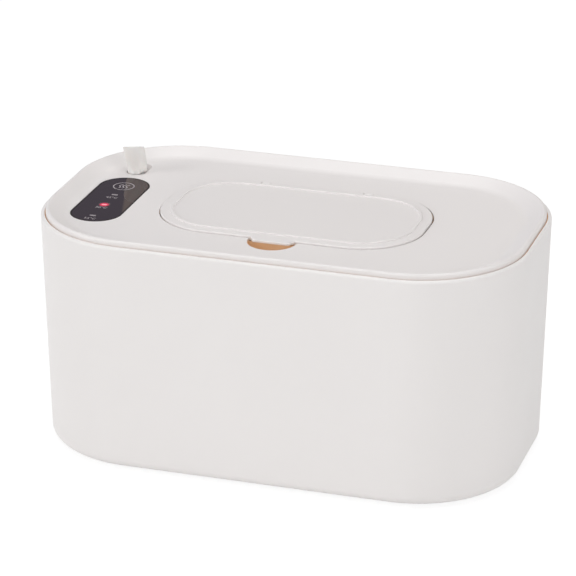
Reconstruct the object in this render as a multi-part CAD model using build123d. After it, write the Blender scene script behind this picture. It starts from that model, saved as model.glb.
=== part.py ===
from build123d import *
import os
from math import sqrt

# Baby wipe warmer: an oval tub with a drop-in lid that heats the wipes from above.
# Millimetres. X along the tub, -Y the front, +Z up, Z = 0 on the surface it stands on.

# Outer casing
case_length = 220.0       # along X at the rim
case_width = 133.0        # along Y at the rim
case_height = 105.0       # underside to rim
case_corner = 49.5        # plan radius of the rim's corners
end_draft = 2.36          # how far each end leans in from rim to underside
side_draft = 3.14         # the same for front and back
case_wall = 3.0
case_floor = 2.6
case_foot_round = 4.6     # where the walls turn into the underside
rim_wall = 1.7            # thin lip that shows round the lid
rim_round = 1.2

# Feet
foot_radius = 7.0
foot_height = 2.2
foot_projection = 1.2     # below the underside
foot_from_end = 36.0
foot_from_side = 30.0

# Inner tank
tank_inset = 7.2          # outside of the tank, in from the casing's outline
tank_wall = 1.8
tank_floor = 2.0
tank_round = 8.0
tank_flange = 2.0
tank_clearance = 0.2
tank_gap = 6.0            # free height under the tank
boss_radius = 3.6

# Screws under the casing
screw_radius = 1.5
screw_head_radius = 2.8
screw_head_height = 1.8
screw_length = 8.0
screw_from_end = 62.0
screw_from_side = 24.0
screw_pad_radius = 6.0
screw_pad_height = 1.6
screw_clearance = 0.2
thread_clearance = 0.05

# Insulation
sleeve_clearance = 0.4
sleeve_height = 70.0

# Lid shell
lid_gap = 0.5             # visible joint between casing and lid
lid_depth = 15.0          # rim down to the ledge that carries the lid
lid_wall = 2.2
lid_base_thickness = 2.0
crest_rise = 2.45         # crest above the rim
crest_width = 1.5
crest_round = 1.1
panel_drop = 1.3          # panel below the rim
panel_inset = 11.2        # where the slope meets the panel
panel_thickness = 2.2
dish_round = 8.0          # where the slope runs out into the panel
opening_round = 0.35      # edges of the openings in the panel
lid_boss_radius = 3.4
lid_screw_from_side = 16.5
lid_screw_x = 50.0
end_screw_from_end = 20.0
end_screw_y = 28.0

# Lid seal, a ring in a groove of the lid's skirt
seal_below_rim = 0.8
seal_height = 3.0
seal_depth = 1.2
seal_clearance = 0.3

# Flap over the dispensing mouth
flap_length = 119.4
flap_width = 67.5
flap_corner = 28.3
flap_x = 0.0              # centre of the flap
flap_raise = 0.8          # above the panel
flap_sink = 1.1           # below the panel
flap_gap = 0.4
flap_round = 0.6
bead_inset = 4.3
bead_width = 1.7
bead_height = 0.7
bead_round = 0.5
tab_reach = 3.7           # beyond the flap's front edge
tab_thickness = 1.1
tab_root = 21.6
tab_lip = 16.0
tab_round = 1.5
recess_radius = 10.8
recess_beyond_flap = 0.9  # centre of the recess in front of the flap's edge

# Hinge at the back of the flap
hinge_inset = 1.2         # axis in from the flap's back edge
hinge_depth = 0.4         # axis below the panel
hinge_relief = 0.8        # extra room behind the flap
hinge_x = 24.0
pin_radius = 0.6
pin_clearance = 0.05
pin_length = 12.0
lug_width = 4.0
lug_clearance = 0.3
barrel_length = 4.0

# Flap liner and its seal
liner_inset = 3.5
liner_thickness = 1.4
latch_x = 26.0
latch_width = 6.0
latch_thickness = 2.0
latch_length = 4.2
latch_clearance = 0.5
flap_seal_width = 2.0
flap_seal_groove = 0.6

# Dispensing frame under the flap
frame_gap = 0.35          # frame to flap
frame_rim_width = 2.0     # what the lid's panel hides of it
frame_clearance = 0.1
land_thickness = 0.8      # edge of the panel above the frame
pocket_depth = 4.5        # panel down to the frame's floor
frame_floor = 1.6
mouth_length = 88.0
mouth_width = 36.0
mouth_wall = 1.6
mouth_seal_margin = 3.0   # mouth to flap seal
scoop_depth = 8.0

# Control window, board and what stands between them
window_length = 58.0
window_width = 23.3
window_thickness = 1.6
window_from_end = 25.5
window_y = -6.8
window_pad = 3.4          # panel thickness under the window's edge
window_land = 1.6
window_clearance = 0.1
board_length = 54.0
board_width = 20.0
board_thickness = 1.6
board_standoff = 2.2
standoff_radius = 2.0
shield_length = 52.0
shield_width = 17.0
shield_clearance = 0.2
icon_from_end = 11.5      # touch icon, in from the window's back end
touch_radius = 4.0
lamps_from_icon = (11.6, 24.9, 39.2)
lamp_hole_width = 5.0
lamp_hole_length = 3.4
led_width = 3.0
led_length = 1.6
led_height = 0.9

# Filling slot and its stopper
well_length = 15.7
well_width = 9.5
well_from_end = 24.25
well_y = 34.3
well_depth = 5.0
well_wall = 1.6
throat_radius = 3.3
throat_wall = 1.3
throat_reach = 1.2        # below the lid's base
stem_clearance = 0.3
stem_length = 6.0
grip_base_radius = 4.1
grip_top_radius = 4.9
grip_height = 13.6        # its highest edge above the panel
grip_lean = -1.8
grip_slant = 20.0         # degrees, of the cut across its top
grip_turn = 20.0          # degrees from -Y, where the high edge faces
grip_round = 0.5
collar_height = 1.6

# Power inlet at the back of the lid
inlet_width = 16.0
inlet_clearance = 0.4
inlet_recess = 0.3        # back of the shroud, in from the casing's outline
socket_width = 10.0
socket_depth = 13.0
socket_height = 7.6
plug_radius = 2.8
plug_depth = 9.5
contact_radius = 1.0

# Heater under the lid
heater_inset = 28.0
heater_clearance = 0.3
insulation_thickness = 3.0
film_thickness = 0.5
plate_thickness = 1.2
rib_wall = 1.8
rib_drop = 1.5            # below the heating plate
plate_screw_from_end = 20.0    # in from the plate's edge
plate_screw_from_side = 12.5
plate_screw_radius = 1.1
plate_screw_head_radius = 2.3
plate_screw_head_height = 1.2
plate_screw_length = 7.6
plate_boss_radius = 3.0
plate_boss_height = 3.0
film_margin = 4.0
sensor_from_side = 8.5
sensor_x = 24.0
thermistor_size = (6.0, 3.0, 1.8)
fuse_radius = 1.2
fuse_length = 9.0
sensor_clearance = 0.3

# Wires
wire_radius = 0.8
wire_spacing = 2.4
wire_hole_radius = 5.6
wire_drop_from_end = 6.0  # in from the plate's edge
wire_drop_y = -6.0

# Levels
z_under = foot_projection
z_rim = z_under + case_height
z_ledge = z_rim - lid_depth
z_seat = z_ledge - tank_flange
z_casing_floor = z_under + case_floor
z_tank_under = z_casing_floor + tank_gap
z_tank_floor = z_tank_under + tank_floor
z_split = z_ledge + lid_base_thickness
z_crest = z_rim + crest_rise
z_panel = z_rim - panel_drop
z_panel_under = z_panel - panel_thickness
z_flap_top = z_panel + flap_raise
z_flap_under = z_panel - flap_sink
z_liner_under = z_flap_under - liner_thickness
z_pocket = z_panel - pocket_depth
z_scoop = z_panel - scoop_depth
z_hinge = z_panel - hinge_depth
z_well = z_panel - well_depth
z_film_top = z_ledge - insulation_thickness
z_plate_top = z_film_top - film_thickness
z_plate_under = z_plate_top - plate_thickness
z_rib = z_plate_under - rib_drop
z_board = z_split + board_standoff
z_board_top = z_board + board_thickness
z_window_under = z_panel - window_thickness

# Places
lid_inset = rim_wall + lid_gap
y_flap_front = -flap_width / 2
y_hinge = flap_width / 2 - hinge_inset
barrel_radius = flap_raise + hinge_depth
window_x = -case_length / 2 + window_from_end
icon_y = window_y + window_length / 2 - icon_from_end
lamp_ys = [icon_y - step for step in lamps_from_icon]
plate_end = case_length / 2 - heater_inset
plate_side = case_width / 2 - heater_inset
sensor_y = plate_side - sensor_from_side
wire_drop_x = wire_drop_from_end - plate_end
well_x = -case_length / 2 + well_from_end
throat_y = well_y - (well_length - well_width) / 2
y_recess = y_flap_front - recess_beyond_flap
over = 1.0                # how far a cutting tool runs past what it cuts


def corners(x, y):
    return [(x, y), (-x, y), (x, -y), (-x, -y)]


def plan(inset):
    # The casing's outline at the rim, moved in by an inset.
    return RectangleRounded(case_length - 2 * inset, case_width - 2 * inset, case_corner - inset)


def drafted_plan(inset, z):
    # The same outline at another height, where the walls have leaned in.
    share = (z_rim - z) / case_height
    end, side = inset + end_draft * share, inset + side_draft * share
    outline = RectangleRounded(case_length - 2 * end, case_width - 2 * side, case_corner - end)
    return Pos(0, 0, z) * outline


def prism(outline, z_low, z_high):
    return extrude(Pos(0, 0, z_low) * outline, z_high - z_low)


def drafted_block(inset, z_low, z_high):
    return loft([drafted_plan(inset, z_low).face(), drafted_plan(inset, z_high).face()], ruled=True)


def post(x, y, radius, z_low, z_high):
    return Pos(x, y, (z_low + z_high) / 2) * Cylinder(radius, z_high - z_low)


def posts(spots, radius, z_low, z_high):
    return [post(x, y, radius, z_low, z_high) for x, y in spots]


def block(x, y, width, depth, z_low, z_high):
    return Pos(x, y, (z_low + z_high) / 2) * Box(width, depth, z_high - z_low)


def bar(x, y, z, radius, length):
    # A round bar along X.
    return Pos(x, y, z) * Rot(0, 90, 0) * Cylinder(radius, length)


def slot(x, y, length, width):
    # A stadium with its long side along Y.
    return Pos(x, y) * SlotOverall(length, width, rotation=90)


def tube(points, radii, radius):
    path = FilletPolyline(*points, radius=radii)
    return sweep(Plane(origin=path @ 0, z_dir=path % 0) * Circle(radius), path=path)


foot_spots = corners(case_length / 2 - foot_from_end, case_width / 2 - foot_from_side)
tank_screw_spots = corners(case_length / 2 - screw_from_end, case_width / 2 - screw_from_side)
lid_screw_spots = corners(lid_screw_x, case_width / 2 - lid_screw_from_side)
lid_screw_spots += [(case_length / 2 - end_screw_from_end, y) for y in (-end_screw_y, end_screw_y)]
plate_screw_spots = corners(plate_end - plate_screw_from_end, plate_side - plate_screw_from_side)
lug_xs = [flap_x - hinge_x, flap_x + hinge_x]
z_head_seat = z_under + screw_head_height


# Base

def outer_casing():
    shell = drafted_block(0, z_under, z_rim)
    shell = fillet(shell.edges().group_by(Axis.Z)[0], case_foot_round)
    shell = fillet(shell.edges().group_by(Axis.Z)[-1], rim_round)
    shell -= prism(plan(rim_wall), z_seat, z_rim + over)
    shell -= drafted_block(case_wall, z_casing_floor, z_seat)
    z_pad = z_casing_floor + screw_pad_height
    shell += posts(tank_screw_spots, screw_pad_radius, z_under, z_pad)
    shell -= posts(tank_screw_spots, screw_head_radius + screw_clearance, z_under - over, z_head_seat)
    shell -= posts(tank_screw_spots, screw_radius + screw_clearance, z_head_seat - over, z_pad + over)
    shell -= posts(foot_spots, foot_radius, z_under - over, foot_height)
    notch_width = inlet_width + 2 * inlet_clearance
    shell -= block(0, case_width / 2, notch_width, 4 * case_wall, z_split, z_rim + over)
    return shell


def rubber_feet():
    feet = Part() + posts(foot_spots, foot_radius, 0, foot_height)
    return chamfer(feet.edges().group_by(Axis.Z)[0], foot_projection / 2)


def inner_tank():
    tub = drafted_block(tank_inset, z_tank_under, z_ledge)
    tub = fillet(tub.edges().group_by(Axis.Z)[0], tank_round + tank_wall)
    tub += prism(plan(rim_wall + tank_clearance), z_seat, z_ledge)
    cavity = drafted_block(tank_inset + tank_wall, z_tank_floor, z_ledge + over)
    tub -= fillet(cavity.edges().group_by(Axis.Z)[0], tank_round)
    z_pad = z_casing_floor + screw_pad_height
    tub += posts(tank_screw_spots, boss_radius, z_pad, z_tank_under + tank_floor / 2)
    z_tip = z_head_seat + screw_length + thread_clearance
    tub -= posts(tank_screw_spots, screw_radius + thread_clearance, z_pad - over, z_tip)
    return tub


def screws(spots, z_seat_face, head_radius, head_height, shank_radius, length):
    # Pan-head screws that point up, with a cross cut in each head.
    group = []
    for x, y in spots:
        head = post(x, y, head_radius, z_seat_face - head_height, z_seat_face)
        z_cross = z_seat_face - head_height + head_height / 2
        for width, depth in ((head_radius, shank_radius / 2), (shank_radius / 2, head_radius)):
            head -= block(x, y, width, depth, z_seat_face - head_height - over, z_cross)
        group.append(head + post(x, y, shank_radius, z_seat_face, z_seat_face + length))
    return Part() + group


def case_screws(spots, z_seat_face):
    return screws(spots, z_seat_face, screw_head_radius, screw_head_height, screw_radius, screw_length)


def tank_screws():
    return case_screws(tank_screw_spots, z_head_seat)


def side_insulation():
    z_low = z_tank_under + tank_round
    sleeve = drafted_block(case_wall + sleeve_clearance, z_low, z_low + sleeve_height)
    return sleeve - drafted_block(tank_inset - sleeve_clearance, z_low, z_low + sleeve_height)


def base_insulation():
    mat = drafted_block(case_wall + tank_round, z_casing_floor, z_tank_under)
    return mat - posts(tank_screw_spots, screw_pad_radius + sleeve_clearance, z_casing_floor, z_tank_under)


# Lid shell

def tab_outline(margin):
    root, lip = tab_root / 2 + margin, tab_lip / 2 + margin
    y_root, y_lip = y_flap_front + tab_round, y_flap_front - tab_reach - margin
    outline = Polygon((-root, y_root), (-lip, y_lip), (lip, y_lip), (root, y_root), align=None)
    rounded = fillet(outline.vertices().group_by(Axis.Y)[0], tab_round + margin)
    return Pos(flap_x, 0) * rounded


def flap_outline(inset):
    outline = RectangleRounded(flap_length - 2 * inset, flap_width - 2 * inset, flap_corner - inset)
    return Pos(flap_x, 0) * outline


def flap_hole(gap):
    # Room for the flap, its tab, the finger recess and the swing at the hinge.
    room = RectangleRounded(flap_length + 2 * gap, flap_width + 2 * gap + hinge_relief, flap_corner + gap)
    recess = Pos(flap_x, y_recess) * Circle(recess_radius + gap - flap_gap)
    return Pos(flap_x, hinge_relief / 2) * room + tab_outline(gap) + recess


def lug(x, clearance):
    # Arm that carries a hinge pin, from the back of the flap's opening to the axis.
    y_back = flap_width / 2 + hinge_relief + flap_gap + frame_rim_width + clearance
    width = lug_width + 2 * clearance
    z_low = z_panel_under - clearance
    arm = block(x, (y_hinge + y_back) / 2, width, y_back - y_hinge, z_low, z_panel)
    return arm + bar(x, y_hinge, z_hinge, barrel_radius + clearance, width)


def lid_cover():
    cover = prism(plan(lid_inset), z_split, z_crest)
    cover = fillet(cover.edges().group_by(Axis.Z)[-1], crest_round)
    dish_top = Pos(0, 0, z_crest) * plan(lid_inset + crest_width)
    dish = loft([(Pos(0, 0, z_panel) * plan(panel_inset)).face(), dish_top.face()], ruled=True)
    cover -= fillet(dish.edges().group_by(Axis.Z)[0], dish_round)
    cover -= prism(plan(lid_inset + lid_wall), z_split, z_panel_under)
    cover -= slope_hollow()
    z_groove = z_rim - seal_below_rim
    groove = prism(plan(0), z_groove - seal_height, z_groove)
    cover -= groove - prism(plan(lid_inset + seal_depth), z_groove - seal_height, z_groove)
    cover += posts(lid_screw_spots, lid_boss_radius, z_split, z_panel - land_thickness)
    # window seat, filling well with its throat, power inlet
    window_seat = slot(window_x, window_y, window_length + 2 * window_land, window_width + 2 * window_land)
    cover += prism(window_seat, z_panel - window_pad, z_panel - land_thickness)
    well_outside = slot(well_x, well_y, well_length + 2 * well_wall, well_width + 2 * well_wall)
    cover += prism(well_outside, z_well - well_wall, z_panel - land_thickness)
    cover += post(well_x, throat_y, throat_radius + throat_wall, z_ledge - throat_reach, z_well)
    cover += inlet_shroud()
    # openings
    window_hole = slot(window_x, window_y, window_length - 2 * window_land, window_width - 2 * window_land)
    cover -= prism(window_hole, z_panel - window_pad - over, z_panel)
    play = 2 * window_clearance
    window_pocket = slot(window_x, window_y, window_length + play, window_width + play)
    cover -= prism(window_pocket, z_window_under, z_panel + over)
    cover -= prism(slot(well_x, well_y, well_length, well_width), z_well, z_panel + over)
    cover -= post(well_x, throat_y, throat_radius, z_ledge - throat_reach - over, z_well + over)
    cover -= prism(flap_hole(flap_gap), z_split, z_panel + over)
    cover -= prism(flap_hole(flap_gap + frame_rim_width), z_split, z_panel - land_thickness)
    flats = cover.faces().filter_by(Plane.XY)
    panel = flats.filter_by_position(Axis.Z, z_panel - over, z_panel + over).sort_by(SortBy.AREA)[-1]
    cover = fillet([edge for wire in panel.inner_wires() for edge in wire.edges()], opening_round)
    z_bore = z_split + socket_height / 2
    bore = Rot(90, 0, 0) * Cylinder(plug_radius + inlet_clearance, 6 * lid_wall)
    cover -= Pos(0, case_width / 2, z_bore) * bore
    for x in lug_xs:
        cover += lug(x, 0)
        cover -= bar(x, y_hinge, z_hinge, pin_radius + pin_clearance / 2, 2 * lug_width)
    z_tip = z_ledge + screw_length + thread_clearance
    cover -= posts(lid_screw_spots, screw_radius + thread_clearance, z_split - over, z_tip)
    return cover


def slope_hollow():
    # Keeps one wall thickness under the slope between crest and panel.
    run = (panel_inset - lid_inset - crest_width) / (crest_rise + panel_drop)
    drop = panel_thickness * sqrt(1 + 1 / run ** 2)
    inside = lid_inset + lid_wall
    z_top = z_panel - drop + (panel_inset - inside) / run
    low = Pos(0, 0, z_panel_under) * plan(panel_inset - run * (drop - panel_thickness))
    high = Pos(0, 0, z_top) * plan(inside)
    return prism(plan(inside), z_panel_under, z_top) - loft([low.face(), high.face()], ruled=True)


def inlet_shroud():
    # Fills the casing's notch, so that the plug is reached from behind.
    y_front = case_width / 2 - lid_inset - lid_wall
    y_back = case_width / 2 - inlet_recess - side_draft * lid_depth / case_height
    shroud = block(0, (y_front + y_back) / 2, inlet_width, y_back - y_front, z_split + inlet_clearance, z_rim)
    return shroud


def lid_base():
    base = prism(plan(lid_inset), z_ledge, z_split)
    heater_outside = plan(heater_inset - heater_clearance - rib_wall)
    base += prism(heater_outside, z_rib, z_ledge)
    base -= prism(plan(heater_inset - heater_clearance), z_rib - over, z_ledge)
    base += prism(mouth_outline(mouth_wall), z_rib, z_ledge)
    base += posts(plate_screw_spots, plate_boss_radius, z_split, z_split + plate_boss_height)
    base += posts(standoff_spots(), standoff_radius, z_split, z_board)
    base -= prism(mouth_outline(0), z_rib - over, z_split + over)
    throat_outside = throat_radius + throat_wall + stem_clearance
    base -= post(well_x, throat_y, throat_outside, z_ledge - over, z_split + over)
    base -= posts(lid_screw_spots, screw_radius + screw_clearance, z_ledge - over, z_split + over)
    z_tip = z_plate_under + plate_screw_length + thread_clearance
    base -= posts(plate_screw_spots, plate_screw_radius + thread_clearance, z_ledge - over, z_tip)
    base -= post(wire_drop_x, wire_drop_y, wire_hole_radius, z_ledge - over, z_split + over)
    return base


def mouth_outline(margin):
    outline = SlotOverall(mouth_length + 2 * margin, mouth_width + 2 * margin)
    return Pos(flap_x, 0) * outline


def standoff_spots():
    x, y = board_width / 2 - standoff_radius - over, board_length / 2 - 3 * standoff_radius
    return [(window_x + dx, window_y + dy) for dx, dy in corners(x, y)]


def lid_screws():
    return case_screws(lid_screw_spots, z_ledge)


def lid_seal():
    z_high = z_rim - seal_below_rim
    z_low = z_high - seal_height
    ring = prism(plan(rim_wall + seal_clearance), z_low, z_high)
    ring -= prism(plan(lid_inset + seal_depth), z_low, z_high)
    return ring - block(0, case_width / 2, inlet_width, 4 * lid_wall, z_low, z_high)


# Dispensing frame and flap

def recess_outline(radius, y_back):
    # The finger recess, cut off straight at the back.
    beyond = Rectangle(4 * radius, 4 * radius, align=(Align.CENTER, Align.MIN))
    return Pos(flap_x, y_recess) * Circle(radius) - Pos(flap_x, y_back) * beyond


def dispensing_frame():
    z_low = z_pocket - frame_floor
    rim_outline = flap_hole(flap_gap + frame_rim_width - frame_clearance)
    frame = prism(rim_outline, z_low, z_panel - land_thickness)
    cup = recess_outline(recess_radius + mouth_wall, y_flap_front + mouth_wall)
    frame += prism(cup, z_scoop - mouth_wall, z_pocket)
    frame += prism(mouth_outline(mouth_wall), z_split, z_pocket)
    frame -= prism(flap_hole(frame_gap), z_pocket, z_panel)
    # wall behind the finger recess, up to the flap
    frame += block(flap_x, y_flap_front + mouth_wall / 2, 2 * recess_radius + mouth_wall, mouth_wall,
                   z_low, z_flap_under - frame_gap)
    bowl = recess_outline(recess_radius + frame_gap - flap_gap, y_flap_front)
    scoop = prism(bowl, z_scoop, z_pocket)
    frame -= fillet(scoop.edges().group_by(Axis.Z)[0], mouth_wall)
    frame -= prism(mouth_outline(0), z_split - over, z_pocket + over)
    for x in (flap_x - latch_x, flap_x + latch_x):
        frame -= block(x, y_latch(), latch_width + 2 * latch_clearance, latch_thickness + 2 * latch_clearance,
                       z_low - over, z_pocket + over)
    for x in lug_xs:
        frame -= lug(x, lug_clearance)
    return frame


def y_latch():
    return y_flap_front + liner_inset + latch_thickness / 2 + latch_clearance / 2


def flap_cover():
    plate = prism(flap_outline(0) + tab_outline(0), z_flap_under, z_flap_top)
    plate = fillet(plate.edges().group_by(Axis.Z)[-1], flap_round)
    # the tab is thinner than the flap
    plate -= block(flap_x, y_flap_front - tab_reach, 2 * tab_root, 2 * tab_reach,
                   z_flap_under - over, z_flap_top - tab_thickness)
    ring = flap_outline(bead_inset) - flap_outline(bead_inset + bead_width)
    bead = prism(ring, z_flap_top, z_flap_top + bead_height)
    bead = fillet(bead.edges().group_by(Axis.Z)[-1], bead_round)
    plate += bead
    notch_depth = barrel_radius + lug_clearance
    for x in lug_xs:
        for side in (-1, 1):
            plate += bar(x + side * (lug_width / 2 + lug_clearance + barrel_length / 2), y_hinge, z_hinge,
                         barrel_radius, barrel_length)
        plate -= block(x, y_hinge, lug_width + 2 * lug_clearance, 2 * notch_depth,
                       z_hinge - 2 * barrel_radius, z_flap_top + over)
        plate -= bar(x, y_hinge, z_hinge, pin_radius + pin_clearance, pin_length + 2 * lug_clearance)
    return plate


def hinge_pins():
    return Part() + [bar(x, y_hinge, z_hinge, pin_radius, pin_length) for x in lug_xs]


def flap_liner():
    liner = prism(flap_outline(liner_inset), z_liner_under, z_flap_under)
    z_tip = z_liner_under - latch_length
    for x in (flap_x - latch_x, flap_x + latch_x):
        liner += block(x, y_latch(), latch_width, latch_thickness, z_tip, z_liner_under)
    groove_top = z_liner_under + flap_seal_groove
    return liner - prism(flap_seal_outline(), z_liner_under, groove_top)


def flap_seal_outline():
    return mouth_outline(mouth_seal_margin + flap_seal_width) - mouth_outline(mouth_seal_margin)


def flap_seal():
    return prism(flap_seal_outline(), z_pocket, z_liner_under + flap_seal_groove)


# Controls

def control_window():
    pane = prism(slot(window_x, window_y, window_length, window_width), z_window_under, z_panel)
    return fillet(pane.edges().group_by(Axis.Z)[-1], window_clearance)


def control_board():
    return prism(slot(window_x, window_y, board_length, board_width), z_board, z_board_top)


def light_shield():
    shield = prism(slot(window_x, window_y, shield_length, shield_width), z_board_top, z_window_under)
    shield -= post(window_x, icon_y, touch_radius + shield_clearance, z_board_top, z_window_under)
    for y in lamp_ys:
        shield -= block(window_x, y, lamp_hole_width, lamp_hole_length, z_board_top, z_window_under)
    return shield


def touch_pad():
    return post(window_x, icon_y, touch_radius, z_board_top, z_window_under)


def indicator_leds():
    z_high = z_board_top + led_height
    return Part() + [block(window_x, y, led_width, led_length, z_board_top, z_high) for y in lamp_ys]


# Filling slot

def inlet_stopper():
    z_collar = z_well + collar_height
    z_top = z_panel + grip_height
    foot = Pos(well_x, throat_y, z_collar) * Circle(grip_base_radius)
    top = Pos(well_x + grip_lean, throat_y, z_top + over) * Circle(grip_top_radius)
    grip = loft([foot.face(), top.face()], ruled=True)
    high_edge = Pos(well_x + grip_lean, throat_y, z_top) * Rot(0, 0, grip_turn) * Pos(0, -grip_top_radius, 0)
    width = 6 * grip_top_radius
    waste = Box(width, width, grip_height, align=(Align.CENTER, Align.CENTER, Align.MIN))
    grip -= high_edge * Rot(-grip_slant, 0, 0) * waste
    grip = fillet(grip.faces().sort_by(Axis.Z)[-1].edges(), grip_round)
    collar = post(well_x, throat_y, grip_base_radius, z_well, z_collar)
    stem = post(well_x, throat_y, throat_radius - stem_clearance, z_well - stem_length, z_well)
    stem = chamfer(stem.edges().group_by(Axis.Z)[0], stem_clearance)
    return grip + collar + stem


# Power

def y_socket():
    return case_width / 2 - lid_inset - lid_wall - socket_depth / 2


def dc_socket():
    z_high = z_split + socket_height
    body = block(0, y_socket(), socket_width, socket_depth, z_split, z_high)
    y_face = y_socket() + socket_depth / 2
    axis = Pos(0, y_face - plug_depth / 2, (z_split + z_high) / 2) * Rot(90, 0, 0)
    return body - axis * Cylinder(plug_radius, plug_depth) + axis * Cylinder(contact_radius, plug_depth)


def power_wires():
    # Two leads from the socket round the back of the dispensing frame to the board.
    y_start = y_socket() - socket_depth / 2
    y_lane = y_start - 2 * wire_spacing
    x_board = window_x + board_width / 2
    x_lane = x_board + 2 * wire_spacing
    z = z_board + board_thickness / 2
    wires = []
    for shift in (-wire_spacing / 2, wire_spacing / 2):
        points = [(shift, y_start, z), (shift, y_lane - shift, z), (x_lane + shift, y_lane - shift, z),
                  (x_lane + shift, window_y - shift, z), (x_board, window_y - shift, z)]
        wires.append(tube(points, 3 * wire_radius, wire_radius))
    return Part() + wires


def heater_wires():
    spots = [(wire_drop_x, wire_drop_y + side * wire_spacing) for side in (-1, 0, 1)]
    return Part() + posts(spots, wire_radius, z_film_top, z_board)


# Heater

def heater_slab(margin, z_low, z_high):
    slab = prism(plan(heater_inset + margin), z_low, z_high)
    return slab - prism(mouth_outline(mouth_wall + heater_clearance + margin), z_low, z_high)


def heating_plate():
    plate = heater_slab(0, z_plate_under, z_plate_top)
    return plate - posts(plate_screw_spots, plate_screw_radius + screw_clearance, z_plate_under, z_plate_top)


def heating_film():
    film = heater_slab(film_margin, z_plate_top, z_film_top)
    return film - posts(plate_screw_spots, plate_boss_radius, z_plate_top, z_film_top)


def heater_insulation():
    pad = heater_slab(0, z_film_top, z_ledge)
    pad -= posts(plate_screw_spots, plate_boss_radius, z_film_top, z_ledge)
    pad -= post(wire_drop_x, wire_drop_y, wire_hole_radius, z_film_top, z_ledge)
    length, width, height = (size + 2 * sensor_clearance for size in thermistor_size)
    pad -= block(-sensor_x, sensor_y, length, width, z_film_top, z_film_top + height)
    fuse_room = 2 * (fuse_radius + sensor_clearance)
    pad -= block(sensor_x, sensor_y, fuse_length + 2 * sensor_clearance, fuse_room,
                 z_film_top, z_film_top + fuse_room)
    return pad


def plate_screws():
    return screws(plate_screw_spots, z_plate_under, plate_screw_head_radius, plate_screw_head_height,
                  plate_screw_radius, plate_screw_length)


def thermistor():
    length, width, height = thermistor_size
    bead = block(-sensor_x, sensor_y, length, width, z_film_top, z_film_top + height)
    return fillet(bead.edges().filter_by(Axis.Z), width / 4)


def thermal_fuse():
    return bar(sensor_x, sensor_y, z_film_top + fuse_radius, fuse_radius, fuse_length)


pieces = [
    outer_casing, inner_tank, side_insulation, base_insulation, rubber_feet, tank_screws,
    lid_cover, lid_base, lid_seal, lid_screws, dispensing_frame, hinge_pins,
    flap_cover, flap_liner, flap_seal,
    control_window, light_shield, touch_pad, control_board, indicator_leds,
    inlet_stopper, dc_socket, power_wires, heater_wires,
    heating_plate, heating_film, heater_insulation, plate_screws, thermistor, thermal_fuse,
]

os.makedirs("parts", exist_ok=True)
for piece in pieces:
    export_step(piece(), "parts/" + piece.__name__ + ".step")
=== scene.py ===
from math import cos, pi, radians, sin, tan

import bmesh
import bpy
from mathutils import Matrix, Vector


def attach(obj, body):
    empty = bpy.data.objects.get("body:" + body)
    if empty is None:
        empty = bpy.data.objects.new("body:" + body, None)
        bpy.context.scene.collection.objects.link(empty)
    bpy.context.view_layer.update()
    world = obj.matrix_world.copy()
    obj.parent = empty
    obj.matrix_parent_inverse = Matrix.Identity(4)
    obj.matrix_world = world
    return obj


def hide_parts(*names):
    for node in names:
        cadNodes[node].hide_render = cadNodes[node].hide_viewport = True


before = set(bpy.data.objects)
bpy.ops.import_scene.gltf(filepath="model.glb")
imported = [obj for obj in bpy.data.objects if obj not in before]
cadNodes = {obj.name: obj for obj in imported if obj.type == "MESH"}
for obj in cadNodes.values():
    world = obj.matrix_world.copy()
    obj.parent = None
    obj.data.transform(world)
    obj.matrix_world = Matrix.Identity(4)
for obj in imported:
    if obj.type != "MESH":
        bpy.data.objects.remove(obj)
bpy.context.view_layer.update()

# A baby wipe warmer: a white oval tub, a drop-in lid with a hinged flap, a dark touch
# window and a stoppered filling slot. Metres, Z up, the front is at -Y.

scene = bpy.context.scene
mm = 0.001


def linear(hexCode):
    # sRGB hex to the linear colour that the shaders take
    parts = [int(hexCode[i:i + 2], 16) / 255 for i in (1, 3, 5)]
    return tuple(p / 12.92 if p <= 0.04045 else ((p + 0.055) / 1.055) ** 2.4 for p in parts) + (1.0,)


def addNode(tree, kind, inputs=None, **settings):
    node = tree.nodes.new(kind)
    for key, value in settings.items():
        setattr(node, key, value)
    for key, value in (inputs or {}).items():
        if isinstance(value, bpy.types.NodeSocket):
            tree.links.new(value, node.inputs[key])
        else:
            node.inputs[key].default_value = value
    return node


def emptyMaterial(name):
    material = bpy.data.materials.new(name)
    material.use_nodes = True
    material.node_tree.nodes.clear()
    return material, material.node_tree


def addObject(name, data):
    thing = bpy.data.objects.new(name, data)
    scene.collection.objects.link(thing)
    return thing


def addPiece(name, mesh, body, material=None, smooth=True):
    piece = addObject(name, mesh)
    if material:
        mesh.materials.clear()
        mesh.materials.append(material)
    if smooth is not None:
        mesh.polygons.foreach_set("use_smooth", [smooth] * len(mesh.polygons))
    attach(piece, body)
    return piece


# the camera

cameraLook = {
    "azimuth": 17.40, "elevation": 21.88, "roll": 0.08,    # degrees
    "target": (-0.00363, 0.0, 0.06944), "distance": 1.3648,
    "lens": 191.88, "sensor": 36.0, "clip": (0.01, 50.0),
}


def placeCamera(look):
    azimuth, elevation, roll = (radians(look[key]) for key in ("azimuth", "elevation", "roll"))
    back = Vector((sin(azimuth) * cos(elevation), -cos(azimuth) * cos(elevation), sin(elevation)))
    right = Vector((0, 0, 1)).cross(back).normalized()
    up = back.cross(right)
    right, up = cos(roll) * right + sin(roll) * up, cos(roll) * up - sin(roll) * right
    data = bpy.data.cameras.new("productCamera")
    data.lens, data.sensor_width = look["lens"], look["sensor"]
    data.clip_start, data.clip_end = look["clip"]
    camera = addObject("productCamera", data)
    place = Vector(look["target"]) + look["distance"] * back
    camera.matrix_world = Matrix.Translation(place) @ Matrix((right, up, back)).transposed().to_4x4()
    scene.camera = camera


placeCamera(cameraLook)
print("camera placed")


# the floor, the air and the lamps

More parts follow.
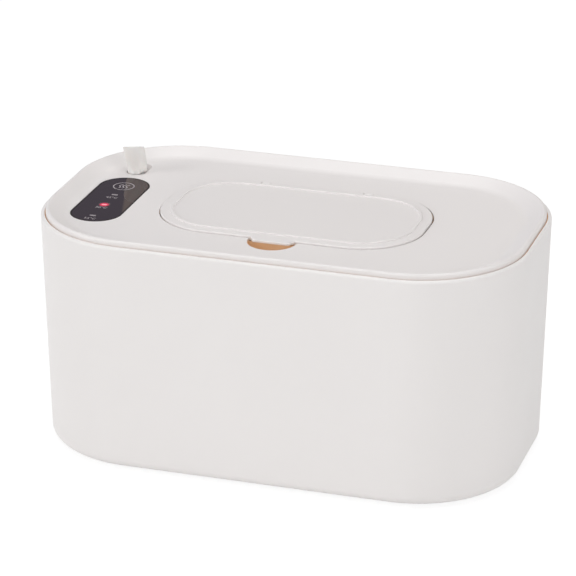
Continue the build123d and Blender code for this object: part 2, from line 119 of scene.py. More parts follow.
studio = {
    "fill": "#FFFFFF", "fillStrength": 0.30,             # soft light from all round
    "floor": "#F4F3F2", "floorSize": 6.0,
    "floorGlow": 0.84, "floorShade": 0.26,               # what the camera sees: white with a shadow
    "lampAim": (0.0, 0.0, 0.06),
}
backWall = {
    "far": 1.5, "top": 3.0, "reach": 4.0,
    "seam": -0.5155, "seamLean": 0.187,                  # where the two tones meet, and its slant
    "tones": ("#999AAB", "#D9D2CD"),
}
lamps = {
    "leftLamp": {"place": (-1.75, -1.15, 0.8), "size": (1.0, 1.0), "power": 14.5, "colour": "#FFFFFF"},
    "frontLamp": {"place": (0.2, -2.1, 0.8), "size": (1.2, 1.0), "power": 5.8, "colour": "#FFFFFF"},
    "sideLamp": {"place": (1.7, -1.0, 0.55), "size": (0.9, 1.1), "power": 9.2, "colour": "#FFFFFF"},
    "topLamp": {"place": (0.0, 0.2, 2.0), "size": (1.6, 1.6), "power": 17.2, "colour": "#FFFFFF"},
}


def seenStraight(tree):
    # 1 for the rays of the camera, a mirror or a clear body, 0 for light that only bounces
    path = addNode(tree, "ShaderNodeLightPath").outputs
    seen = path["Is Camera Ray"]
    for ray in ("Is Glossy Ray", "Is Transmission Ray"):
        seen = addNode(tree, "ShaderNodeMath", {0: seen, 1: path[ray]}, operation="MAXIMUM").outputs[0]
    return seen


def makeWorld(look):
    world = bpy.data.worlds.new("studioAir")
    scene.world = world
    world.use_nodes = True
    tree = world.node_tree
    tree.nodes.clear()
    fill = addNode(tree, "ShaderNodeBackground", {"Color": linear(look["fill"]),
                                                  "Strength": look["fillStrength"]})
    white = addNode(tree, "ShaderNodeBackground", {"Color": (1, 1, 1, 1), "Strength": 1.0})
    both = addNode(tree, "ShaderNodeMixShader", {0: seenStraight(tree), 1: fill.outputs[0],
                                                 2: white.outputs[0]})
    addNode(tree, "ShaderNodeOutputWorld", {"Surface": both.outputs[0]})


def makeFloor(look):
    material, tree = emptyMaterial("paleFloor")
    plain = addNode(tree, "ShaderNodeBsdfDiffuse", {"Color": linear(look["floor"])})
    shade = addNode(tree, "ShaderNodeBsdfDiffuse", {"Color": (look["floorShade"],) * 3 + (1,)})
    glow = addNode(tree, "ShaderNodeEmission", {"Color": (1, 1, 1, 1), "Strength": look["floorGlow"]})
    shown = addNode(tree, "ShaderNodeAddShader", {0: shade.outputs[0], 1: glow.outputs[0]})
    both = addNode(tree, "ShaderNodeMixShader", {0: seenStraight(tree), 1: plain.outputs[0],
                                                 2: shown.outputs[0]})
    addNode(tree, "ShaderNodeOutputMaterial", {"Surface": both.outputs[0]})
    mesh = bpy.data.meshes.new("paleFloor")
    half = look["floorSize"] / 2
    corners = [(-half, -half, 0), (half, -half, 0), (half, half, 0), (-half, half, 0)]
    mesh.from_pydata(corners, [], [(0, 1, 2, 3)])
    mesh.materials.append(material)
    floor = addObject("paleFloor", mesh)


def makeBackWall(look):
    # a dim wall behind the table that only mirror-like surfaces show, in two tones
    mesh = bpy.data.meshes.new("backWall")
    far, top, reach = look["far"], look["top"], look["reach"]
    low, high = look["seam"], look["seam"] - top * look["seamLean"]
    mesh.from_pydata([(-reach, far, 0), (low, far, 0), (high, far, top), (-reach, far, top),
                      (reach, far, 0), (reach, far, top)], [], [(0, 1, 2, 3), (1, 4, 5, 2)])
    for name, tone in zip(("backWallDim", "backWallLight"), look["tones"]):
        material, tree = emptyMaterial(name)
        glow = addNode(tree, "ShaderNodeEmission", {"Color": linear(tone), "Strength": 1.0})
        addNode(tree, "ShaderNodeOutputMaterial", {"Surface": glow.outputs[0]})
        mesh.materials.append(material)
    mesh.polygons[1].material_index = 1
    wall = addObject("backWall", mesh)
    for kind in ("camera", "diffuse", "transmission", "shadow"):
        setattr(wall, "visible_" + kind, False)


def addLamp(name, look):
    data = bpy.data.lights.new(name, "AREA")
    data.shape = "RECTANGLE"
    data.size, data.size_y = look["size"]
    data.energy = look["power"]
    data.color = linear(look["colour"])[:3]
    lamp = addObject(name, data)
    lamp.location = look["place"]
    aim = Vector(studio["lampAim"]) - Vector(look["place"])
    lamp.rotation_euler = aim.to_track_quat("-Z", "Y").to_euler()


scene.view_settings.view_transform = "Standard"
makeWorld(studio)
makeFloor(studio)
makeBackWall(backWall)
for lampName, lampLook in lamps.items():
    addLamp(lampName, lampLook)
print("stage lit")


# the finishes

glowReach = (0.004, 0.003, 0.0025)       # how far red, green and blue travel under a milky skin
flatness = {"grain": 8, "cell": 3, "scratch": 10}        # a pattern's size over the height of its bumps


def startMaterial(name):
    # with the object's own coordinates, so that a pattern moves with its piece
    material, tree = emptyMaterial(name)
    return material, tree, addNode(tree, "ShaderNodeTexCoord").outputs["Object"]


def closeMaterial(material, look, share, surface):
    # share blends the look's two tones and, where it has two, its roughness
    tree = material.node_tree
    first, second = (linear(tone) for tone in look["tones"])
    tone = addNode(tree, "ShaderNodeMix", {0: share, 6: first, 7: second}, data_type="RGBA")
    gloss = look["roughness"]
    if isinstance(gloss, tuple):
        gloss = addNode(tree, "ShaderNodeMapRange", {"Value": share, "To Min": gloss[0],
                                                     "To Max": gloss[1]}).outputs[0]
    surface = {"Base Color": tone.outputs[2], "Roughness": gloss, **surface}
    if "ior" in look:
        surface["IOR"] = look["ior"]
    shader = addNode(tree, "ShaderNodeBsdfPrincipled", surface)
    addNode(tree, "ShaderNodeOutputMaterial", {"Surface": shader.outputs[0]})
    return material


def mouldedFinish(name, look):
    # A moulded polymer: two close tones that drift over centimetres, a gloss that drifts
    # with them, and the fine grain that the tool's wall leaves.
    material, tree, place = startMaterial(name)
    drift, grain = (addNode(tree, "ShaderNodeTexNoise", {
        "Vector": place, "Scale": 1 / look[size], "Detail": detail}).outputs[0]
        for size, detail in (("drift", 2.0), ("grain", 3.0)))
    bump = addNode(tree, "ShaderNodeBump", {"Height": grain, "Strength": look["relief"],
                                            "Distance": look["grain"] / flatness["grain"]})
    surface = {"Normal": bump.outputs[0]}
    if "glow" in look:
        surface.update({"Subsurface Weight": look["glow"], "Subsurface Radius": glowReach,
                        "Subsurface Scale": 1.0})
    return closeMaterial(material, look, drift, surface)


def foamFinish(name, look):
    # Closed-cell polyethylene foam: soft domes with darker seams between the cells.
    material, tree, place = startMaterial(name)
    cells = addNode(tree, "ShaderNodeTexVoronoi", {"Vector": place, "Scale": 1 / look["cell"]})
    bump = addNode(tree, "ShaderNodeBump", {
        "Height": cells.outputs["Distance"], "Strength": look["relief"],
        "Distance": look["cell"] / flatness["cell"]}, invert=True)
    return closeMaterial(material, look, cells.outputs["Distance"], {"Normal": bump.outputs[0]})


def metalFinish(name, look):
    # Rolled or turned metal: fine scratches drawn out along one direction.
    material, tree, place = startMaterial(name)
    stretched = addNode(tree, "ShaderNodeMapping", {"Vector": place, "Scale": look["stretch"]})
    lines = addNode(tree, "ShaderNodeTexNoise", {"Vector": stretched.outputs[0],
                                                 "Scale": 1 / look["scratch"], "Detail": 4.0})
    bump = addNode(tree, "ShaderNodeBump", {"Height": lines.outputs[0], "Strength": look["relief"],
                                            "Distance": look["scratch"] / flatness["scratch"]})
    return closeMaterial(material, look, lines.outputs[0], {"Normal": bump.outputs[0], "Metallic": 1.0})


def wovenFinish(name, look):
    # A clear or lacquered sheet with a grid under its skin: glass cloth or etched tracks.
    material, tree, place = startMaterial(name)
    apart = addNode(tree, "ShaderNodeSeparateXYZ", {0: place})
    waves = []
    for axis, pitch in enumerate(look["pitch"]):
        turn = addNode(tree, "ShaderNodeMath", {0: apart.outputs[axis], 1: 2 * pi / pitch},
                       operation="MULTIPLY")
        waves.append(addNode(tree, "ShaderNodeMath", {0: turn.outputs[0]}, operation="SINE").outputs[0])
    both = addNode(tree, "ShaderNodeMath", {0: waves[0], 1: waves[1]}, operation="MULTIPLY")
    share = addNode(tree, "ShaderNodeMapRange", {"Value": both.outputs[0], "From Min": -look["soft"],
                                                 "From Max": look["soft"]})
    bump = addNode(tree, "ShaderNodeBump", {"Height": share.outputs[0], "Strength": look["relief"],
                                            "Distance": look["ridge"]})
    return closeMaterial(material, look, share.outputs[0], {"Normal": bump.outputs[0]})


def polishedFinish(name, look):
    # A smoked, mirror-flat sheet: its tone drifts a little, and a faint haze dulls its gloss.
    material, tree, place = startMaterial(name)
    haze = addNode(tree, "ShaderNodeTexNoise", {"Vector": place, "Scale": 1 / look["haze"],
                                                "Detail": 3.0})
    return closeMaterial(material, look, haze.outputs[0], {"Specular Tint": linear(look["shine"])})


def lampFinish(name, look):
    # A lit lens or the halo round it: its glow fades from the middle to the sheet's own tone.
    material, tree, place = startMaterial(name)
    centred = addNode(tree, "ShaderNodeMapping", {"Vector": place,
                                                  "Location": tuple(-v for v in look["centre"])})
    reach = addNode(tree, "ShaderNodeVectorMath", {0: centred.outputs[0]}, operation="LENGTH")
    fade = addNode(tree, "ShaderNodeMapRange", {
        "Value": reach.outputs["Value"], "From Min": look["fade"][0], "From Max": look["fade"][1]},
        interpolation_type="SMOOTHSTEP")
    inner, outer = (linear(glow) for glow in look["glows"])
    glow = addNode(tree, "ShaderNodeMix", {0: fade.outputs[0], 6: inner, 7: outer}, data_type="RGBA")
    return closeMaterial(material, look, fade.outputs[0], {
        "Emission Color": glow.outputs[2], "Emission Strength": look["light"]})


# the size of each pattern - drift, grain, cell, scratch, pitch, haze - is in metres

moulded = {
    # ABS from a spark-eroded tool: warm white, satin. The real grain of these plastics is near
    # 0.1 mm, and it is drawn some times coarser, so that it shows.
    "casingAbs": {"tones": ("#F0EDEC", "#EDEAE9"), "drift": 0.06, "roughness": (0.42, 0.47),
                  "grain": 0.0008, "relief": 0.10, "ior": 1.53},
    # the same ABS from a finer tool: the lid is a shade greyer and a little smoother
    "lidAbs": {"tones": ("#EFEBEA", "#ECE8E7"), "drift": 0.05, "roughness": (0.38, 0.43),
               "grain": 0.0007, "relief": 0.08, "ior": 1.53},
    # the flap's cover, half a shade greyer again
    "flapAbs": {"tones": ("#EDE9E8", "#EAE6E5"), "drift": 0.04, "roughness": (0.38, 0.42),
                "grain": 0.0007, "relief": 0.08, "ior": 1.53},
    # polypropylene: milky, waxy gloss, faint flow marks over a few centimetres
    "tankPolypropylene": {"tones": ("#EEEEEA", "#E8E8E3"), "drift": 0.03, "roughness": (0.30, 0.38),
                          "grain": 0.0015, "relief": 0.06, "ior": 1.49, "glow": 0.05},
    "lidBasePolypropylene": {"tones": ("#ECEBE7", "#E6E5E1"), "drift": 0.03, "roughness": (0.34, 0.42),
                             "grain": 0.0012, "relief": 0.08, "ior": 1.49},
    # pale tan ABS of the frame under the flap: warm, satin, a little darker where the flow met
    # its tan also paints the warm shade inside the finger recess, and its tone is set pale so that the
    # shaded recess shows lit: painted shade and painted light
    "frameAbsRecessShade": {"tones": ("#FDE0BF", "#F8D6B0"), "drift": 0.02, "roughness": (0.40, 0.50),
                 "grain": 0.0008, "relief": 0.12, "ior": 1.53},
    # tan silicone: dull, slightly see-through at its lips, with a talc bloom
    # its tan also paints the warm shade of the gap between lid and casing, where its top lip shows:
    # painted shade
    "sealSiliconeGapShade": {"tones": ("#D8A677", "#CF9B6B"), "drift": 0.012, "roughness": (0.55, 0.68),
                     "grain": 0.0006, "relief": 0.15, "ior": 1.41, "glow": 0.10},
    # pale silicone of the stopper: milky, soft and dull, so that its folds shade it
    "stopperSilicone": {"tones": ("#F7F4F1", "#EEEBE8"), "drift": 0.006, "roughness": (0.48, 0.60),
                        "grain": 0.0009, "relief": 0.18, "ior": 1.41, "glow": 0.20},
    # thermoplastic elastomer of the feet: pale grey, dull, faintly dusty
    "footElastomer": {"tones": ("#D6D3CF", "#C9C6C2"), "drift": 0.008, "roughness": (0.70, 0.85),
                      "grain": 0.0007, "relief": 0.25, "ior": 1.50},
    # black ABS of the light shield: matt, so that no light leaks from lamp to lamp
    "shieldAbs": {"tones": ("#161516", "#1B1A1B"), "drift": 0.02, "roughness": (0.60, 0.70),
                  "grain": 0.0008, "relief": 0.20, "ior": 1.53},
    # conductive foam rubber of the touch pad: charcoal, open and dull
    "touchRubber": {"tones": ("#2A2A2C", "#1F1F21"), "drift": 0.002, "roughness": (0.80, 0.92),
                    "grain": 0.0005, "relief": 0.50, "ior": 1.50},
    # clear lens of an indicator lamp: water-clear epoxy, pale pink from the die below
    "lampEpoxy": {"tones": ("#E9D3CF", "#E0C4C0"), "drift": 0.002, "roughness": (0.08, 0.14),
                  "grain": 0.0004, "relief": 0.05, "ior": 1.55},
    # glass-filled PBT of the power socket: black, moderately glossy
    "socketPbt": {"tones": ("#1B1A1C", "#222123"), "drift": 0.006, "roughness": (0.28, 0.36),
                  "grain": 0.0006, "relief": 0.15, "ior": 1.55},
    # PVC insulation of the inner wires: red, waxy, with extrusion drag
    "wirePvc": {"tones": ("#A8262B", "#951F24"), "drift": 0.004, "roughness": (0.35, 0.45),
                "grain": 0.0006, "relief": 0.12, "ior": 1.53},
    # black epoxy bead of the two sensors: poured, glossy, slightly lumpy
    "sensorEpoxy": {"tones": ("#1D1D20", "#26262A"), "drift": 0.002, "roughness": (0.18, 0.28),
                    "grain": 0.0010, "relief": 0.30, "ior": 1.55},
    # screen-printed marks on the window: light grey ink, thin and dull
    "printInk": {"tones": ("#B5ADB1", "#A79FA3"), "drift": 0.003, "roughness": (0.50, 0.60),
                 "grain": 0.0004, "relief": 0.20, "ior": 1.50},
    # matt black ring round the window's edge: painted shade for the shadowed gap between window and lid,
    # dull so that it shows no reflection
    "gapShadeMatt": {"tones": ("#151113", "#1B1618"), "drift": 0.003, "roughness": (0.75, 0.85),
                  "grain": 0.0005, "relief": 0.20, "ior": 1.33},
    # unlit lamp lens behind the smoked window: a dim grey pill
    "lampUnlit": {"tones": ("#A39B9F", "#978F93"), "drift": 0.002, "roughness": (0.30, 0.40),
                  "grain": 0.0004, "relief": 0.05, "ior": 1.50},
}
foams = {
    # closed-cell polyethylene foam, 1.4 mm cells: white, dull, softly dimpled
    "jacketFoam": {"tones": ("#EDEDEA", "#D5D5D0"), "cell": 0.0014, "relief": 0.5, "roughness": 0.85,
                   "ior": 1.50},
}
metals = {
    # zinc-plated steel of the screws: cool grey, rolled thread, faint tool marks
    "zincSteel": {"tones": ("#C6C8CC", "#B4B6BB"), "stretch": (1, 1, 4), "scratch": 0.0006,
                  "roughness": (0.26, 0.38), "relief": 0.15},
    # ground steel of the hinge pins: bright, finely scratched along the pin
    "pinSteel": {"tones": ("#CBCCCE", "#BDBEC1"), "stretch": (8, 1, 1), "scratch": 0.0008,
                 "roughness": (0.18, 0.28), "relief": 0.10},
    # mill-finish aluminium of the heating plate: rolling lines, pale and half dull
    "plateAluminium": {"tones": ("#D4D5D7", "#C4C5C8"), "stretch": (1, 14, 1), "scratch": 0.006,
                       "roughness": (0.28, 0.42), "relief": 0.12},
    # nickel-plated brass of the socket's contacts: warm silver
    "contactBrass": {"tones": ("#D9C9A4", "#CBB88E"), "stretch": (1, 1, 1), "scratch": 0.0008,
                     "roughness": (0.16, 0.26), "relief": 0.08},
}
wovens = {
    # glass-epoxy laminate under green solder mask: the glass cloth shows at 0.6 mm
    "boardLaminate": {"tones": ("#12613A", "#1A7245"), "pitch": (0.0012, 0.0012), "soft": 0.6,
                      "relief": 0.10, "ridge": 0.03 * mm, "roughness": 0.25, "ior": 1.55},
    # amber polyimide over etched tracks 3 mm apart, each a shade darker than the film
    "heaterPolyimide": {"tones": ("#B9671E", "#8A4713"), "pitch": (0.040, 0.006), "soft": 0.08,
                        "relief": 0.35, "ridge": 0.03 * mm, "roughness": 0.22, "ior": 1.60},
}
polished = {
    # smoked acrylic with a mirror-flat face: near black, with a warm sheen
    "smokedAcrylic": {"tones": ("#221A1B", "#282021"), "haze": 0.012, "roughness": (0.015, 0.03),
                      "shine": "#FFA08C", "ior": 1.38},
}
litCentre = (-84.6 * mm, -14.2 * mm, 104.9 * mm)
litLamps = {
    # the lit lamp: a red halo in the smoked window, and a core that has gone almost white
    "lampHalo": {"tones": ("#7A1424", "#241D21"), "glows": ("#D6304C", "#000000"), "centre": litCentre,
                 "fade": (1.5 * mm, 2.6 * mm), "light": 0.8, "roughness": 0.03, "ior": 1.47},
    "lampCore": {"tones": ("#8A2030", "#7A1424"), "glows": ("#FFA6B4", "#F0506A"), "centre": litCentre,
                 "fade": (0.6 * mm, 1.5 * mm), "light": 0.9, "roughness": 0.20, "ior": 1.47},
}

finishes = {}
for makeFinish, looks in ((mouldedFinish, moulded), (foamFinish, foams), (metalFinish, metals),
                          (wovenFinish, wovens), (polishedFinish, polished), (lampFinish, litLamps)):
    for finishName, finishLook in looks.items():
        finishes[finishName] = makeFinish(finishName, finishLook)

nodeFinishes = {
    "outer_casing": "casingAbs", "inner_tank": "tankPolypropylene", "side_insulation": "jacketFoam",
    "base_insulation": "jacketFoam", "rubber_feet": "footElastomer", "tank_screws": "zincSteel",
    "lid_cover": "lidAbs", "lid_base": "lidBasePolypropylene", "lid_seal": "sealSiliconeGapShade",
    "lid_screws": "zincSteel", "dispensing_frame": "frameAbsRecessShade", "hinge_pins": "pinSteel",
    "flap_cover": "flapAbs", "flap_liner": "lidBasePolypropylene", "flap_seal": "sealSiliconeGapShade",
    "control_window": "smokedAcrylic", "light_shield": "shieldAbs", "touch_pad": "touchRubber",
    "control_board": "boardLaminate", "indicator_leds": "lampEpoxy", "inlet_stopper": "stopperSilicone",
    "dc_socket": "socketPbt", "power_wires": "wirePvc", "heater_wires": "wirePvc",
    "heating_plate": "plateAluminium", "heating_film": "heaterPolyimide",
    "heater_insulation": "jacketFoam", "plate_screws": "zincSteel", "thermistor": "sensorEpoxy",
    "thermal_fuse": "sensorEpoxy",
}
for nodeName, finishName in nodeFinishes.items():
    mesh = cadNodes[nodeName].data
    mesh.materials.clear()
    mesh.materials.append(finishes[finishName])
print("finishes made:", len(finishes))


# ways of making pieces

weldDistance = 1e-7
sharpAngle = radians(35)


def meshOf(name, build):
    # a plain mesh from a bmesh that build fills, with its faces turned outwards
    data = bmesh.new()
    build(data)
    bmesh.ops.remove_doubles(data, verts=data.verts, dist=weldDistance)
    bmesh.ops.recalc_face_normals(data, faces=data.faces)
    mesh = bpy.data.meshes.new(name)
    data.to_mesh(mesh)
    data.free()
    return mesh


def joinLoops(data, pairs):
    # a wall of four-sided faces between each two loops
    for low, high in pairs:
        for i in range(len(low)):
            j = (i + 1) % len(low)
            data.faces.new((low[i], low[j], high[j], high[i]))


def stackRings(data, rings):
    # joins closed rings of points one above the other and closes both ends
    loops = [[data.verts.new(point) for point in ring] for ring in rings]
    joinLoops(data, zip(loops, loops[1:]))
    data.faces.new(list(reversed(loops[0])))
    data.faces.new(loops[-1])


def circleRing(radius, z, count):
    angles = [2 * pi * i / count for i in range(count)]
    return [(radius * cos(angle), radius * sin(angle), z) for angle in angles]


def turnedMesh(name, profile, count):
    # a turned shape from (radius, height) points, from its lower end to its upper end
    return meshOf(name, lambda data: stackRings(data, [circleRing(r, z, count) for r, z in profile]))


def pillRing(length, width, z, count=12):
    # a stadium along X
    points = []
    for side, start in ((1, -pi / 2), (-1, pi / 2)):
        for i in range(count + 1):
            angle = start + pi * i / count
            points.append((side * (length - width) / 2 + width / 2 * cos(angle),
                           width / 2 * sin(angle), z))
    return points


def finalMesh(holder):
    # the mesh that an object's modifiers or its text end in
    bpy.context.view_layer.update()
    return bpy.data.meshes.new_from_object(holder.evaluated_get(bpy.context.evaluated_depsgraph_get()))


def newTree(name, inputs):
    tree = bpy.data.node_groups.new(name, "GeometryNodeTree")
    tree.interface.new_socket("Geometry", in_out="OUTPUT", socket_type="NodeSocketGeometry")
    for key, kind in inputs.items():
        tree.interface.new_socket(key, in_out="INPUT", socket_type="NodeSocket" + kind)
    return tree, addNode(tree, "NodeGroupInput").outputs


def raiseShape(tree, geometry, height):
    rise = addNode(tree, "ShaderNodeCombineXYZ", {2: height})
    return addNode(tree, "GeometryNodeSetPosition", {"Geometry": geometry, "Offset": rise.outputs[0]})


def closeTree(tree, geometry, material):
    # every tree ends in real, finished geometry
    real = addNode(tree, "GeometryNodeRealizeInstances", {0: geometry})
    done = addNode(tree, "GeometryNodeSetMaterial", {"Geometry": real.outputs[0], "Material": material})
    addNode(tree, "NodeGroupOutput", {0: done.outputs[0]})


def growPiece(name, tree, values, body):
    # runs a tree once on an empty mesh and keeps what it made as a plain mesh
    seed = addObject(name + "Seed", bpy.data.meshes.new(name + "Seed"))
    modifier = seed.modifiers.new("grow", "NODES")
    modifier.node_group = tree
    for item in tree.interface.items_tree:
        if item.in_out == "INPUT":
            modifier[item.identifier] = values[item.name]
    mesh = finalMesh(seed)
    mesh.name = name
    seed.modifiers.remove(modifier)
    bpy.data.objects.remove(seed)
    mesh.set_sharp_from_angle(angle=sharpAngle)
    return addPiece(name, mesh, body, smooth=None)


# the screws: a pan head with a cross recess, and a rolled thread that ends in a point

screwHead = {   # shares of the head's radius and height, and the dome's steps in radians
    "flat": 0.45, "dome": 0.55, "arcs": (0.25, 0.5, 0.8, 1.1, 1.35, pi / 2), "edge": 0.12, "seat": 0.97,
    "neck": 0.9, "around": 32,
}
screwCross = {"span": 0.62, "slot": 0.17, "depth": 0.60, "taper": 0.55}     # shares of the same
screwThread = {"pitch": 1.25 * mm, "depth": 0.28 * mm, "point": 2.4 * mm, "tip": 0.08, "runIn": 0.8 * mm,
               "sunk": 0.2 * mm, "around": 20, "stepsPerPitch": 6}
screwSets = {
    "tankScrews": {"node": "tank_screws", "body": "base", "seat": 3.0 * mm,
                   "head": (2.8 * mm, 1.8 * mm), "shank": (1.5 * mm, 8.0 * mm),
                   "spacing": (96.0 * mm, 85.0 * mm), "pair": (0.0, 0.0), "seed": 11},
    "lidScrews": {"node": "lid_screws", "body": "lid", "seat": 91.2 * mm,
                  "head": (2.8 * mm, 1.8 * mm), "shank": (1.5 * mm, 8.0 * mm),
                  "spacing": (100.0 * mm, 100.0 * mm), "pair": (90.0 * mm, 56.0 * mm), "seed": 23},
    "plateScrews": {"node": "plate_screws", "body": "lid", "seat": 86.5 * mm,
                    "head": (2.3 * mm, 1.2 * mm), "shank": (1.1 * mm, 7.6 * mm),
                    "spacing": (124.0 * mm, 52.0 * mm), "pair": (0.0, 0.0), "seed": 37},
}


def screwMesh(name, look):
    # one screw, its seat at z = 0, its head below and its point above
    headRadius, headHeight = look["head"]
    coreRadius, length = look["shank"]
    profile = [(headRadius * sin(a), -headHeight * (screwHead["flat"] + screwHead["dome"] * cos(a)))
               for a in screwHead["arcs"]]
    profile += [(headRadius, -screwHead["edge"] * headHeight), (screwHead["seat"] * headRadius, 0.0),
                (coreRadius * screwHead["neck"], 0.0)]
    head = turnedMesh(name + "Head", profile, screwHead["around"])

    def fillCross(data):
        span, slot = screwCross["span"] * headRadius, screwCross["slot"] * headRadius
        outline = []
        for turn in range(4):
            for x, y in ((span, -slot), (span, slot), (slot, slot)):
                outline.append((x * cos(turn * pi / 2) - y * sin(turn * pi / 2),
                                x * sin(turn * pi / 2) + y * cos(turn * pi / 2)))
        deep, taper = -headHeight * (1 - screwCross["depth"]), screwCross["taper"]
        stackRings(data, [[(x, y, -2 * headHeight) for x, y in outline],
                          [(taper * x, taper * y, deep) for x, y in outline]])

    cross = meshOf(name + "Cross", fillCross)
    holder, cutter = addObject(name + "Head", head), addObject(name + "Cross", cross)
    cut = holder.modifiers.new("cut", "BOOLEAN")
    cut.object, cut.operation, cut.solver = cutter, "DIFFERENCE", "EXACT"
    cutHead = finalMesh(holder)
    for part in (holder, cutter):
        bpy.data.objects.remove(part)

    def fillThread(data):
        pitch, around = screwThread["pitch"], screwThread["around"]
        steps = int(length / (pitch / screwThread["stepsPerPitch"]))
        tip, rings = screwThread["tip"], []
        for step in range(steps + 1):
            z = length * step / steps
            taper = min(1.0, (length - z) / screwThread["point"]) * (1 - tip) + tip
            ring = []
            for i in range(around):
                share = i / around
                wave = 1 - 2 * abs((z / pitch - share) % 1 - 0.5)
                depth = screwThread["depth"] * (1 - wave) * min(1.0, z / screwThread["runIn"])
                radius = taper * (coreRadius - depth)
                low = z - screwThread["sunk"] * (step == 0)      # the first ring starts inside the head
                ring.append((radius * cos(2 * pi * share), radius * sin(2 * pi * share), low))
            rings.append(ring)
        stackRings(data, rings)

    thread = meshOf(name + "Thread", fillThread)
    both = bmesh.new()
    both.from_mesh(cutHead)
    both.from_mesh(thread)
    mesh = bpy.data.meshes.new(name)
    both.to_mesh(mesh)
    both.free()
    return mesh


def spotsTree():
    # copies of one fastener at the corners of a rectangle and, where it is set, at one more pair
    tree, given = newTree("fastenerSpots", {
        "fastener": "Object", "spacingX": "Float", "spacingY": "Float", "seatHeight": "Float",
        "pairX": "Float", "pairSpacing": "Float", "pairCount": "Int", "turnSeed": "Int",
        "finish": "Material"})
    grid = addNode(tree, "GeometryNodeMeshGrid", {
        "Size X": given["spacingX"], "Size Y": given["spacingY"], "Vertices X": 2, "Vertices Y": 2})
    half = addNode(tree, "ShaderNodeMath", {0: given["pairSpacing"], 1: -0.5}, operation="MULTIPLY")
    first = addNode(tree, "ShaderNodeCombineXYZ", {0: given["pairX"], 1: half.outputs[0]})
    step = addNode(tree, "ShaderNodeCombineXYZ", {1: given["pairSpacing"]})
    pair = addNode(tree, "GeometryNodeMeshLine", {
        "Count": given["pairCount"], "Start Location": first.outputs[0], "Offset": step.outputs[0]})
    spots = addNode(tree, "GeometryNodeJoinGeometry", {0: grid.outputs[0]})
    tree.links.new(pair.outputs[0], spots.inputs[0])
    raised = raiseShape(tree, spots.outputs[0], given["seatHeight"])
    chance = addNode(tree, "FunctionNodeRandomValue", {
        "Max": (0.0, 0.0, 2 * pi), "Seed": given["turnSeed"]}, data_type="FLOAT_VECTOR")
    shape = addNode(tree, "GeometryNodeObjectInfo", {"Object": given["fastener"]})
    copies = addNode(tree, "GeometryNodeInstanceOnPoints", {
        "Points": raised.outputs[0], "Instance": shape.outputs["Geometry"],
        "Rotation": chance.outputs[0]})
    closeTree(tree, copies.outputs[0], given["finish"])
    return tree


def growFasteners(name, tree, mesh, look, finish):
    master = addObject(name + "Master", mesh)
    pairX, pairSpacing = look["pair"]
    piece = growPiece(name, tree, {
        "fastener": master, "spacingX": look["spacing"][0], "spacingY": look["spacing"][1],
        "seatHeight": look["seat"], "pairX": pairX, "pairSpacing": pairSpacing,
        "pairCount": 2 if pairX else 0, "turnSeed": look["seed"], "finish": finishes[finish]},
        look["body"])
    bpy.data.objects.remove(master)
    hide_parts(look["node"])
    return piece


fastenerSpots = spotsTree()
for setName, setLook in screwSets.items():
    screws = growFasteners(setName, fastenerSpots, screwMesh(setName, setLook), setLook, "zincSteel")
print("screws made")


# the feet: soft studs with ring grooves in their soles

feet = {
    "node": "rubber_feet", "body": "base", "seat": 0.0, "spacing": (148.0 * mm, 73.0 * mm),
    "pair": (0.0, 0.0), "seed": 5, "radius": 7.0 * mm, "height": 2.2 * mm, "round": 0.5 * mm,
    "around": 40, "middle": 0.6 * mm, "grooves": (2.0, 3.6, 5.2), "grooveDepth": 0.45 * mm,
    "grooveShape": ((-0.35, 0), (-0.2, 1), (0.2, 1), (0.35, 0)),   # out in mm, up in shares of its depth
}


def footMesh(look):
    sole = [(look["middle"], 0.0)]
    for radius in look["grooves"]:
        for out, up in look["grooveShape"]:
            sole.append(((radius + out) * mm, up * look["grooveDepth"]))
    edge = [(look["radius"] - look["round"] * (1 - sin(a)), look["round"] * (1 - cos(a)))
            for a in (0.0, pi / 6, pi / 3, pi / 2)]
    return turnedMesh("foot", sole + edge + [(look["radius"], look["height"])], look["around"])


ribbedFeet = growFasteners("ribbedFeet", fastenerSpots, footMesh(feet), feet, "footElastomer")
print("feet made")


# the lid seal: a lipped silicone strip swept along the lid's skirt, open at the back where
# the shroud of the power socket stands. Its top lip fills the gap between lid and casing.

# the lip's tan, set light, stands in for the warm shade of that gap: painted shade
seal = {
    "halfLength": 107.3 * mm, "halfWidth": 63.8 * mm, "corner": 46.8 * mm, "cornerSteps": 24,
    "gap": 16.0 * mm, "low": 102.4 * mm,
    "section": (   # outwards and upwards from the strip's foot, in mm
        (-0.70, 0.0), (0.35, 0.0), (0.35, 0.50), (0.68, 0.75), (0.35, 1.00), (0.35, 1.35), (0.68, 1.60),
        (0.35, 1.85), (0.38, 2.15), (0.93, 2.55), (0.95, 3.45), (0.58, 3.50), (0.55, 3.0), (-0.70, 3.0)),
}


def sealPath(look):
    # the open outline, anticlockwise from the gap's left end seen from the front
    x, y = look["halfLength"] - look["corner"], look["halfWidth"] - look["corner"]
    points = [(-look["gap"] / 2, look["halfWidth"])]
    for number, (sideX, sideY) in enumerate(((-x, y), (-x, -y), (x, -y), (x, y))):
        for i in range(look["cornerSteps"] + 1):
            angle = pi / 2 * (1 + number + i / look["cornerSteps"])
            points.append((sideX + look["corner"] * cos(angle), sideY + look["corner"] * sin(angle)))
    points.append((look["gap"] / 2, look["halfWidth"]))
    return points


